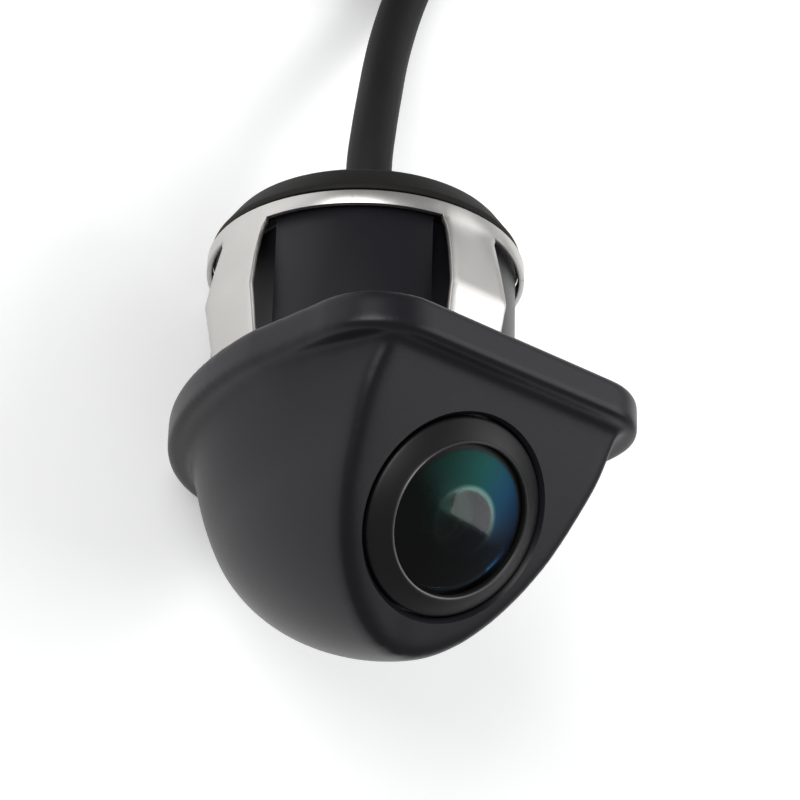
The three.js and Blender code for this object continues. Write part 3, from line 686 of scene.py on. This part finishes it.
# ---------------------------------------------------------------- front glass
# A crowned element with a multilayer coating. A painted reflection of the lamps shows the coating
# green at one side, teal in the middle and blue at the other over one half of the glass, and the other
# half is painted dark; the glass is clear over the pupil, and ends in a blackened edge.
FRONT_SAG = 0.9
BACK_SAG = 0.7
BACK_RADIUS = 4.5
GLASS_STEPS = 10
front_profile = []
back_profile = []
for step in range(1, GLASS_STEPS + 1):
    out = step / GLASS_STEPS
    front_profile.append((GLASS_EDGE * step / GLASS_STEPS, -0.3 - FRONT_SAG * (1 - out**2)))
    back_profile.insert(0, (BACK_RADIUS * step / GLASS_STEPS, 1.1 - BACK_SAG * (1 - out**2)))
front_glass = turned("front_lens", [*front_profile, (GLASS_EDGE, 0.3), *back_profile], 96)
laid(front_glass, INTO_LENS)
smooth(front_glass, 40)

coated = Finish("coated_glass", IOR=1.35, Transmission_Weight=1.0, Specular_IOR_Level=0.01)
lens_place = coated.place(LENS_CENTRE, LENS_TURN, (4.9 * MM, 4.9 * MM, 4.9 * MM))
across = coated.node("ShaderNodeSeparateXYZ", {}, {"Vector": lens_place}, output="X")
along = coated.node("ShaderNodeSeparateXYZ", {}, {"Vector": lens_place}, output="Y")
# Painted reflection: the coating's coloured reflection of the lamps and its dark half are painted into
# the base colour, metallic and roughness by position on the glass.
painted_reflection_hues = [
    (0.0, rgb(0.004, 0.026, 0.015)),
    (0.45, rgb(0.002, 0.055, 0.05)),
    (0.7, rgb(0.002, 0.05, 0.105)),
    (1.0, rgb(0.004, 0.014, 0.06)),
]
sideways = across * 0.5 + along * 0.1 + 0.5
painted_reflection_hue = coated.node("ShaderNodeValToRGB", {"stops": painted_reflection_hues}, {"Fac": sideways})
painted_reflection_wobble = coated.noise(lens_place, 1.4, detail=1)
painted_reflection_side = across * 0.25 - along + painted_reflection_wobble * 0.15
from_axis = from_lens_axis(coated)
outside_pupil = from_axis.between(1.9 * MM, 2.5 * MM)
# One half takes the painted coloured reflection, the other half is painted dark as if no lamp were
# mirrored there.
painted_reflection_colour = coated.mix(painted_reflection_side.between(-0.75, -0.3), rgb(0.02, 0.03, 0.03), painted_reflection_hue)
painted_reflection_colour = coated.mix(outside_pupil, rgb(0.2, 0.4, 0.34), painted_reflection_colour)
blackened = from_axis.between(4.4 * MM, 4.7 * MM)
coated.feed("Base Color", coated.mix(blackened, painted_reflection_colour, rgb(0.0005, 0.0005, 0.0005)))
mirrored = painted_reflection_side.between(-0.4, 0.7) * outside_pupil * (1 - blackened)
coated.feed("Metallic", mirrored * 0.7)
coated.feed("Roughness", 0.08 + 0.4 * painted_reflection_side.between(-0.3, 0.6) * outside_pupil)
wears(front_glass, coated.material)
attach(front_glass, "camera")
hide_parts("front_glass")

# ---------------------------------------------------------------- second glass
# The strongly curved second element. It is finished as a dark coated disc with a greener edge, since
# the black stop behind it is all that shows through it.
CROWN_RADIUS = 2.05
CROWN_DEPTH = 1.4
second_crown = []
for degrees in range(5, 69, 7):
    tilt = math.radians(degrees)
    depth = CROWN_DEPTH + CROWN_RADIUS * (1 - math.cos(tilt))
    second_crown.append((CROWN_RADIUS * math.sin(tilt), depth))
second_glass = turned("second_lens", [*second_crown, (3.1, 2.72), (3.1, 3.5), (0.25, 3.5)], 64)
laid(second_glass, INTO_LENS)
smooth(second_glass, 30)
green_glass = Finish("green_glass", IOR=1.6, Coat_Weight=0.25, Coat_Roughness=0.08)
green_distance = from_lens_axis(green_glass)
green_ring = green_distance.between(1.0 * MM, 1.5 * MM)
green_middle, green_edge = rgb(0.002, 0.012, 0.01), rgb(0.012, 0.06, 0.05)
green_glass.feed("Base Color", green_glass.mix(green_ring, green_middle, green_edge))
green_glass.feed("Roughness", 0.06 + 0.2 * green_ring)
wears(second_glass, green_glass.material)
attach(second_glass, "camera")
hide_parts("second_glass")

# ---------------------------------------------------------------- spring clip
# One strip of spring steel, blanked, satin finished and rolled to a ring. Its four legs are bent out
# to grip the edge of the hole.
SHEET = 0.36
RING_BOTTOM = 10.36
LEG_ROWS = (
    # height, outer radius, half width
    (RING_TOP, RING_RADIUS, None),
    (RING_BOTTOM, RING_RADIUS, None),
    (10.1, RING_RADIUS + 0.01, 2.28),
    (9.7, RING_RADIUS + 0.05, 2.1),
    (8.9, RING_RADIUS + 0.2, 2.1),
    (7.4, RING_RADIUS + 0.47, 2.17),
    (5.5, 11.59, 2.3),
    (5.2, 11.64, 2.33),
    (4.95, 11.65, 2.34),
    (4.7, 11.61, 2.34),
    (4.4, 11.54, 2.32),
    (2.8, 11.25, 2.24),
    (1.4, 11.0, 2.17),
    (1.0, 10.95, 2.05),
)
LEG_COLUMNS = 8
RING_COLUMNS = 14
# each quarter runs a little past 45 degrees, so that no line shows where two of them meet
RING_END = math.radians(45.5)
SEAM_FROM = math.radians(45.1)


def leg_sheet(name):
    """A quarter of the ring with the leg hanging from its middle, facing +X."""
    none_selected()
    columns = LEG_COLUMNS + 2 * RING_COLUMNS
    bpy.ops.mesh.primitive_grid_add(x_subdivisions=columns, y_subdivisions=len(LEG_ROWS) - 1, size=1)
    piece = named(bpy.context.object, name)
    root = math.asin(LEG_ROWS[2][2] / RING_RADIUS)
    for vertex in piece.data.vertices:
        column = round((vertex.co.x + 0.5) * columns)
        row = round((0.5 - vertex.co.y) * (len(LEG_ROWS) - 1))
        height, radius, half_width = LEG_ROWS[row]
        place = (column - columns / 2) / (LEG_COLUMNS / 2)
        if abs(place) <= 1:
            angle = root * place
        else:
            past_leg = (abs(column - columns / 2) - LEG_COLUMNS / 2) / RING_COLUMNS
            beyond = math.sin(math.pi / 2 * past_leg)
            angle = math.copysign(root + (RING_END - root) * beyond, place)
        if half_width is None:
            x, y = radius * math.cos(angle), radius * math.sin(angle)
        else:
            flat = min(max((RING_BOTTOM - height) / 2.5, 0), 1)
            y = half_width * place
            round_x = math.sqrt(radius**2 - y**2) if abs(place) <= 1 else radius
            x = round_x + (radius - round_x) * flat
        vertex.co = (x * MM, y * MM, height * MM)
    in_edit_mode(piece)
    bpy.ops.mesh.select_all(action="DESELECT")
    bpy.ops.object.mode_set(mode="OBJECT")
    for polygon in piece.data.polygons:
        corners = polygon.vertices
        lowest = min(corners) // (columns + 1)
        centre_column = sum(index % (columns + 1) for index in corners) / len(corners)
        row_from_top = len(LEG_ROWS) - 2 - lowest
        beside_leg = abs(centre_column - columns / 2) > LEG_COLUMNS / 2
        polygon.select = beside_leg and row_from_top >= 1
    bpy.ops.object.mode_set(mode="EDIT")
    bpy.ops.mesh.delete(type="FACE")
    bpy.ops.mesh.select_all(action="SELECT")
    bpy.ops.mesh.normals_make_consistent(inside=False)
    bpy.ops.object.mode_set(mode="OBJECT")
    if piece.data.polygons[0].normal.x < 0:
        piece.data.flip_normals()
    finished(piece, "SOLIDIFY", thickness=SHEET * MM, offset=-1)
    in_edit_mode(piece)
    bpy.ops.mesh.select_mode(type="EDGE")
    bpy.ops.mesh.select_all(action="DESELECT")
    bpy.ops.mesh.edges_select_sharp(sharpness=math.radians(50))
    bpy.ops.object.mode_set(mode="OBJECT")
    for edge in piece.data.edges:
        ends = [piece.data.vertices[index].co for index in edge.vertices]
        on_seam = all(abs(math.atan2(end.y, end.x)) > SEAM_FROM for end in ends)
        edge.select = edge.select and not on_seam
    bpy.ops.object.mode_set(mode="EDIT")
    bpy.ops.mesh.bevel(offset=0.05 * MM, segments=2)
    bpy.ops.object.mode_set(mode="OBJECT")
    return piece


steel = Finish("spring_steel", Metallic=1.0)
steel_place = steel.place()
steel_streaks = steel.noise(steel.place(scale=(1, 12, 1)), 0.12 * MM, detail=3)
steel_cloud = steel.noise(steel_place, 3 * MM, detail=3)
steel_dark, steel_light = rgb(0.52, 0.505, 0.485), rgb(0.6, 0.585, 0.565)
steel.feed("Base Color", steel.mix(steel_cloud, steel_dark, steel_light))
steel.feed("Roughness", 0.27 + 0.1 * steel_streaks + 0.06 * steel_cloud)
steel.bump(steel_streaks, 0.004 * MM, 0.5)
for side, angle in SIDES.items():
    turn = Matrix.Rotation(math.radians(angle), 4, "Z")
    leg = leg_sheet(f"spring_leg_{side}")
    laid(leg, LAID_DOWN @ turn)
    smooth(leg, 35)
    wears(leg, steel.material)
    start = LAID_DOWN @ turn @ (Vector((RING_RADIUS, 0, 10.3)) * MM)
    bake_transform(leg)
    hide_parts(f"clip_leg_{side}", "clip_ring")

# ---------------------------------------------------------------- rear cap
# Moulded from black glass-filled nylon. It is pressed into the barrel over its seal, holds the clip
# down, and has a fine spark-eroded texture.
cap = turned(
    "cap_moulding",
    [
        (2.9, 8.4),
        (7.7, 8.4),
        (8.1, 8.8),
        (8.1, 9.2),
        (7.3, 9.2),
        (7.3, 10.4),
        (8.1, 10.4),
        (8.1, 11.6),
        (10.4, 11.6),
        (10.52, 11.66),
        (10.55, 11.78),
        (10.55, 12.0),
        (10.5, 12.12),
        (9.5, 13.55),
        (9.3, 13.78),
        (9.05, 13.9),
        (8.75, 13.95),
        (6.6, 13.95),
        (6.52, 13.9),
        (6.42, 13.65),
        (5.2, 13.65),
        (5.1, 13.7),
        (5.0, 13.95),
        (3.1, 13.95),
        (2.9, 13.8),
    ],
    128,
    hollow=True,
)
laid(cap, LAID_DOWN)
smooth(cap, 28)
nylon = Finish("moulded_nylon", Specular_IOR_Level=0.16)
nylon_place = nylon.place()
nylon_spark = nylon.noise(nylon_place, 0.14 * MM, detail=5, roughness=0.65)
nylon_flow = nylon.noise(nylon_place, 5 * MM, detail=3)
nylon_dark, nylon_light = rgb(0.0085, 0.0078, 0.0072), rgb(0.013, 0.012, 0.011)
nylon.feed("Base Color", nylon.mix(nylon_flow, nylon_dark, nylon_light))
nylon.feed("Roughness", 0.52 + 0.14 * nylon_spark + 0.06 * nylon_flow)
nylon.bump(nylon_spark, 0.018 * MM, 0.9)
wears(cap, nylon.material)
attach(cap, "camera")
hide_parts("rear_cap")

# ---------------------------------------------------------------- cable grommet
# A short rubber strain relief through the middle of the cap, with two ribs under its lip.
grommet = turned(
    "grommet_moulding",
    [
        (1.66, 8.4),
        (2.6, 8.4),
        (2.6, 14.2),
        (2.95, 14.2),
        (3.1, 14.35),
        (3.1, 14.75),
        (2.98, 14.9),
        (2.72, 14.95),
        (2.72, 15.25),
        (2.84, 15.35),
        (2.82, 15.75),
        (2.55, 15.85),
        (2.53, 16.15),
        (2.64, 16.25),
        (2.6, 16.6),
        (2.42, 16.7),
        (2.3, 17.15),
        (2.15, 17.36),
        (1.95, 17.4),
        (1.66, 17.3),
    ],
    64,
    hollow=True,
)
laid(grommet, LAID_DOWN)
smooth(grommet, 40)
rubber = Finish("black_rubber", Specular_IOR_Level=0.35)
rubber_place = rubber.place()
rubber_bloom = rubber.noise(rubber_place, 2.5 * MM, detail=4)
rubber_grain = rubber.noise(rubber_place, 0.1 * MM, detail=4)
rubber_dark, rubber_light = rgb(0.011, 0.011, 0.011), rgb(0.02, 0.02, 0.0195)
rubber.feed("Base Color", rubber.mix(rubber_bloom, rubber_dark, rubber_light))
rubber.feed("Roughness", 0.62 + 0.15 * rubber_bloom + 0.08 * rubber_grain)
rubber.bump(rubber_grain, 0.012 * MM, 0.8)
wears(grommet, rubber.material)
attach(grommet, "camera")
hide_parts("cable_grommet")

# ---------------------------------------------------------------- coil tie
# A reusable rubber strap wrapped once round the coil, with its end pulled through a small loop.
TIE_TURN = Matrix.Translation(COIL_MIDDLE * MM) @ Matrix.Rotation(math.pi, 4, "Z")
TIE_WIDTH = 3.0
TIE_INNER = 10.6
TIE_OUTER = 22.2
TIE_BOTTOM = 0.42
TIE_TOP = 7.15


def strap_outline(grow):
    """The bundle's rounded section, seen along the strap."""
    corner = 1.6 + grow
    left, right = TIE_INNER - grow + corner, TIE_OUTER + grow - corner
    low, high = TIE_BOTTOM - grow + corner, TIE_TOP + grow - corner
    yield from arc(right, low, corner, corner, 270, 360, 8)
    yield from arc(right, high, corner, corner, 0, 90, 8)
    yield from arc(left, high, corner, corner, 90, 180, 8)
    yield from arc(left, low, corner, corner, 180, 270, 8)


strap = flat_plate("strap", strap_outline(0.4), -TIE_WIDTH / 2, TIE_WIDTH / 2, 0.12)
strap_hole = flat_plate("strap_hole", strap_outline(0), -TIE_WIDTH, TIE_WIDTH, 0.05)
cut(strap, strap_hole)
loop_left, loop_right = TIE_INNER + 5.2, TIE_INNER + 7.8
loop_low, loop_high = TIE_TOP + 0.1, TIE_TOP + 0.75
loop = flat_plate(
    "loop",
    [(loop_left, loop_low), (loop_right, loop_low), (loop_right, loop_high), (loop_left, loop_high)],
    -TIE_WIDTH / 2 - 0.45,
    TIE_WIDTH / 2 + 0.45,
    0.1,
)
join(strap, loop)
laid(strap, TIE_TURN @ Matrix.Rotation(math.pi / 2, 4, "X"))
smooth(strap, 35)
wears(strap, rubber.material)
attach(strap, "camera")
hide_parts("coil_tie")

# ---------------------------------------------------------------- connector
# A four-way waterproof screw connector: a moulded boot with ribs, a shell with its insert and four
# pins, a seal, and a knurled collar nut that turns on the shell.
CONNECTOR = Matrix.Translation(Vector((-3, 65.1, 14.7)) * MM) @ Matrix.Rotation(-math.pi / 2, 4, "Y")
boot_profile = [(1.7, 0.0), (2.35, 0.0), (2.55, 0.25)]
for rib in range(5):
    start = 1.1 + 1.5 * rib
    wide = 2.75 + 0.26 * rib
    narrow = wide - 0.5
    boot_profile += [(narrow, start), (narrow, start + 0.6)]
    boot_profile += [(wide, start + 0.72), (wide + 0.08, start + 1.35)]
boot_profile += [(4.1, 8.7), (5.0, 9.6), (5.2, 10.0), (5.2, 11.8), (5.0, 12.0), (1.7, 12.0)]
boot = turned("boot_moulding", boot_profile, 64, hollow=True)
laid(boot, CONNECTOR)
smooth(boot, 38)
wears(boot, rubber.material)
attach(boot, "camera")
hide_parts("plug_boot")

shell = turned(
    "shell_moulding",
    [
        (0.3, 12.3),
        (4.8, 12.3),
        (5.0, 12.5),
        (5.0, 17.4),
        (6.2, 17.4),
        (6.2, 18.8),
        (5.2, 18.8),
        (5.2, 20.0),
        (5.3, 20.0),
        (5.4, 20.1),
        (5.4, 32.7),
        (5.15, 33.0),
        (4.75, 33.0),
        (4.6, 32.8),
        (4.6, 20.7),
        (0.3, 20.7),
    ],
    96,
)
laid(shell, CONNECTOR)
smooth(shell, 35)
wears(shell, nylon.material)
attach(shell, "camera")
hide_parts("plug_shell")

insert = turned(
    "insert_moulding",
    [(0.3, 21), (4.15, 21), (4.3, 21.15), (4.3, 29.2), (4.1, 29.5), (0.3, 29.5)],
    64,
)
gold = Finish("gold_plate", Metallic=1.0)
gold_wear = gold.noise(gold.place(), 0.5 * MM, detail=4)
gold.feed("Base Color", gold.mix(gold_wear, rgb(0.72, 0.5, 0.2), rgb(0.8, 0.6, 0.28)))
gold.feed("Roughness", 0.2 + 0.15 * gold_wear)
gold.bump(gold_wear, 0.003 * MM)
PIN_CIRCLE = 2.3
PIN_ANGLES = (45, 135, 225, 315)
for index, degrees in enumerate(PIN_ANGLES, 1):
    angle = math.radians(degrees)
    spot = Matrix.Translation((PIN_CIRCLE * math.cos(angle) * MM, PIN_CIRCLE * math.sin(angle) * MM, 0))
    cut(insert, laid(turned("pin_hole", [(0.78, 20), (0.78, 29.2), (1.1, 30)], 32), spot))
    pin = turned(
        f"contact_pin_{index}",
        [(0.12, 21.2), (0.5, 21.2), (0.5, 30.9), (0.42, 31.45), (0.28, 31.85), (0.1, 32.0)],
        32,
    )
    laid(pin, CONNECTOR @ spot)
    smooth(pin, 50)
    wears(pin, gold.material)
    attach(pin, "camera")
    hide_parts(f"plug_pin_{index}")
laid(insert, CONNECTOR)
smooth(insert, 35)
wears(insert, nylon.material)
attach(insert, "camera")
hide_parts("plug_insert")

collar = turned(
    "collar_knurled",
    [
        (5.5, 13.2),
        (6.5, 13.2),
        (6.75, 13.45),
        (6.75, 14.3),
        (7.2, 14.6),
        (7.2, 18),
        (7.2, 22),
        (7.2, 26.4),
        (6.8, 26.8),
        (6.8, 31.2),
        (6.7, 31.7),
        (6.45, 32),
        (6.6, 32),
        (6.5, 17),
        (5.5, 17),
    ],
    144,
    hollow=True,
)
KNURLS = 36
KNURLED_FROM = 7.1
KNURL_HEIGHT = 0.14
KNURL_SINK = 0.04
for vertex in collar.data.vertices:
    radius = math.hypot(vertex.co.x, vertex.co.y) / MM
    if radius > KNURLED_FROM:
        wave = math.cos(KNURLS * math.atan2(vertex.co.y, vertex.co.x))
        grown = (radius + KNURL_HEIGHT * wave - KNURL_SINK) / radius
        vertex.co.x *= grown
        vertex.co.y *= grown
laid(collar, CONNECTOR)
smooth(collar, 30)
wears(collar, nylon.material)
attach(collar, "collar")
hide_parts("collar_nut")

# ---------------------------------------------------------------- inner pieces
# The stop, the rear elements, the seals, the sensor block and the wires keep their frame shapes and
# are only given a finish here.
clear = Finish("clear_glass", IOR=1.52, Transmission_Weight=1.0)
clear_dust = clear.noise(clear.place(), 0.8 * MM)
clear.feed("Base Color", clear.mix(clear_dust, rgb(0.86, 0.92, 0.95), rgb(0.92, 0.96, 0.98)))
clear.feed("Roughness", 0.02 + 0.04 * clear_dust)


def plain_finish(name, low, high, roughness, grain, depth, metallic=0.0):
    """Two close colours, a roughness that follows them and a fine relief."""
    finish = Finish(name, Metallic=metallic)
    texture = finish.noise(finish.place(), grain * MM, detail=4)
    finish.feed("Base Color", finish.mix(texture, rgb(*low), rgb(*high)))
    finish.feed("Roughness", roughness + 0.12 * texture)
    finish.bump(texture, depth * MM, 0.7)
    return finish.material


board_green = plain_finish("solder_mask", (0.01, 0.09, 0.03), (0.02, 0.13, 0.045), 0.35, 0.5, 0.01)
chip_black = plain_finish("chip_epoxy", (0.01, 0.01, 0.01), (0.02, 0.02, 0.02), 0.45, 0.15, 0.006)
sensor_glass = plain_finish("sensor_glass", (0.04, 0.03, 0.08), (0.06, 0.05, 0.1), 0.08, 0.3, 0.001, 0.3)
header_white = plain_finish("header_nylon", (0.7, 0.67, 0.58), (0.8, 0.77, 0.68), 0.45, 0.3, 0.01)
brass = plain_finish("turned_brass", (0.58, 0.4, 0.14), (0.68, 0.48, 0.2), 0.25, 0.2, 0.004, 1.0)
zinc = plain_finish("zinc_plate", (0.4, 0.41, 0.42), (0.5, 0.51, 0.52), 0.28, 0.2, 0.004, 1.0)
WIRE_COLOURS = (
    (0.45, 0.012, 0.01),
    (0.012, 0.012, 0.012),
    (0.62, 0.36, 0.02),
    (0.75, 0.75, 0.72),
)
INNER_FINISHES = {
    "aperture_stop": matt_black.material,
    "rear_glass": clear.material,
    "rear_retainer": matt_black.material,
    "lens_seal": rubber.material,
    "lens_lock_ring": brass,
    "lens_holder": nylon.material,
    "infrared_filter": clear.material,
    "image_sensor": sensor_glass,
    "sensor_board": board_green,
    "video_chip": chip_black,
    "lead_header": header_white,
    "lead_plug": header_white,
    "board_screw_1": zinc,
    "board_screw_2": zinc,
    "cap_seal": rubber.material,
    "plug_seal": rubber.material,
}
for index, colour in enumerate(WIRE_COLOURS, 1):
    lighter = tuple(part * 1.15 for part in colour)
    wire = plain_finish(f"wire_{index}", colour, lighter, 0.4, 0.4, 0.004)
    INNER_FINISHES[f"lead_wire_{index}"] = wire
for node, material in INNER_FINISHES.items():
    wears(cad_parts[node], material)
